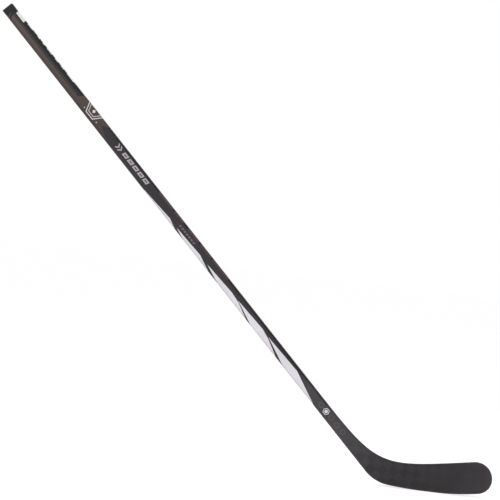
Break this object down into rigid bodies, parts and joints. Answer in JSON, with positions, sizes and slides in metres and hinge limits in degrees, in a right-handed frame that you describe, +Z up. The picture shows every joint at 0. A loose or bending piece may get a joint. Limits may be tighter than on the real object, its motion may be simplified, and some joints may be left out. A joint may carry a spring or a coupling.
{
  "type": "ice hockey stick",
  "caption": "Left-handed composite ice hockey stick: hollow tapered rectangular shaft, butt plug, fused hosel and curved foam-core blade with white flame stripes.",
  "frame": {"origin": "centre of the flat spot on the blade's bottom edge, where the stick rests on the ice", "axes": "+X from the heel to the toe, +Z up, +Y towards the backhand side, so the forehand face looks along -Y; the shaft rises 45 degrees back over -X"},
  "size_m": [1.2977, 0.0238, 1.0458],
  "materials": {
    "shaft_laminate": "clear-coated carbon fibre laminate, near black",
    "liner_film": "thin translucent moulding bladder",
    "cap_plastic": "moulded plug, matt near black",
    "hot_melt": "amber hot-melt adhesive",
    "wrap_laminate": "carbon wrap, sanded flush and clear-coated",
    "tenon_laminate": "raw carbon fibre laminate",
    "core_foam": "closed-cell moulding foam",
    "epoxy": "cured epoxy",
    "blade_laminate": "satin carbon skin with a faint hexagonal ply pattern",
    "rim_laminate": "short-fibre edge band",
    "bronze_print": "dark bronze film under clear coat",
    "pale_line_print": "warm grey film",
    "label_paper": "white paper sticker",
    "white_print": "white film with a faint lavender cast",
    "copper_print": "dull copper film",
    "grey_print": "mid grey film"
  },
  "bodies": {
    "root": {"shaft_tube": "shaft_laminate", "bladder_liner": "liner_film", "butt_cap": "cap_plastic", "cap_glue": "hot_melt", "blade_tenon": "tenon_laminate", "tenon_foam": "core_foam", "tenon_bond": "epoxy", "blade_skin_front": "blade_laminate", "blade_skin_back": "blade_laminate", "blade_rim": "rim_laminate", "blade_core_lower": "core_foam", "blade_core_upper": "core_foam", "blade_rib": "tenon_laminate", "hosel_wrap": "wrap_laminate", "grip_panel": "bronze_print", "grip_pinstripe": "pale_line_print", "size_label": "label_paper", "edge_ticks": "white_print", "badge_rings": "white_print", "side_blocks": "white_print", "copper_edge_marks": "copper_print", "small_dashes": "grey_print", "white_stripe_1": "white_print", "white_stripe_2": "white_print", "white_stripe_3": "white_print", "white_stripe_4": "white_print", "white_stripe_5": "white_print", "hosel_badge": "white_print", "hosel_outlines": "grey_print"}
  },
  "joints": []
}
